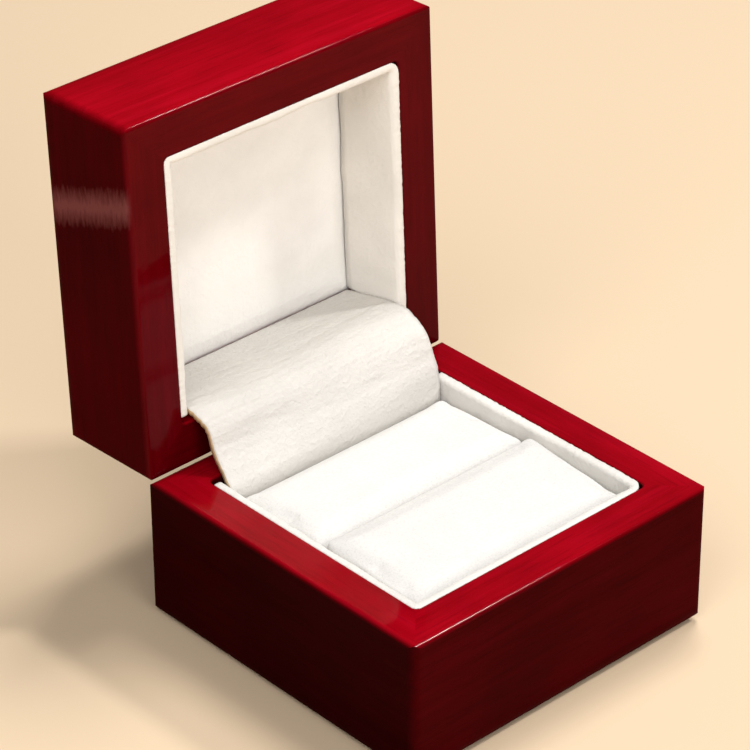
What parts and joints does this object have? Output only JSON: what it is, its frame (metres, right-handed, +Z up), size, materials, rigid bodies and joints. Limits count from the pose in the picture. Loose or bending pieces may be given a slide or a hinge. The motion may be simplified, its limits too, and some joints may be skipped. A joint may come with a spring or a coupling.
{
  "type": "ring box",
  "caption": "Small hinged ring box of lacquered wood, standing open, with a light leatherette lining and a slotted suede pad that holds one ring.",
  "frame": {"origin": "middle of the box's footprint, on the surface it stands on", "axes": "+Z up, -Y towards the front, where the box opens, +X to the right as seen from the front; the hinge runs along X"},
  "size_m": [0.0546, 0.073, 0.075],
  "materials": {
    "lacquered_wood": "red-brown high-gloss lacquer over fine streaky grain",
    "leatherette": "cream leatherette with a fine pebble",
    "suede": "white suede cloth with a short nap",
    "foam": "soft white foam, matte",
    "card": "grey-brown card, matte",
    "steel": "plain stamped steel"
  },
  "bodies": {
    "base": {"back_ring_pad_foam": "foam", "back_ring_pad_suede": "suede", "base_back_wall": "lacquered_wood", "base_bottom_panel": "lacquered_wood", "base_front_wall": "lacquered_wood", "base_hinge_leaf": "steel", "base_hinge_screws": "steel", "base_left_wall": "lacquered_wood", "base_liner": "leatherette", "base_right_wall": "lacquered_wood", "front_ring_pad_foam": "foam", "front_ring_pad_suede": "suede", "hinge_pin": "steel", "insert_card": "card", "snap_spring": "steel"},
    "lid": {"hinge_cover": "leatherette", "lid_back_wall": "lacquered_wood", "lid_front_wall": "lacquered_wood", "lid_hinge_leaf": "steel", "lid_hinge_screws": "steel", "lid_left_wall": "lacquered_wood", "lid_liner": "leatherette", "lid_pad_board": "card", "lid_pad_cover": "leatherette", "lid_right_wall": "lacquered_wood", "lid_top_panel": "lacquered_wood"}
  },
  "joints": [
    {"name": "lid_hinge", "type": "hinge", "parent": "base", "child": "lid", "pos_m": [0, 0.02595, 0.0225], "axis": [1, 0, 0], "range_deg": [0, 92.4], "deforming": ["hinge_cover", "snap_spring"]}
  ]
}
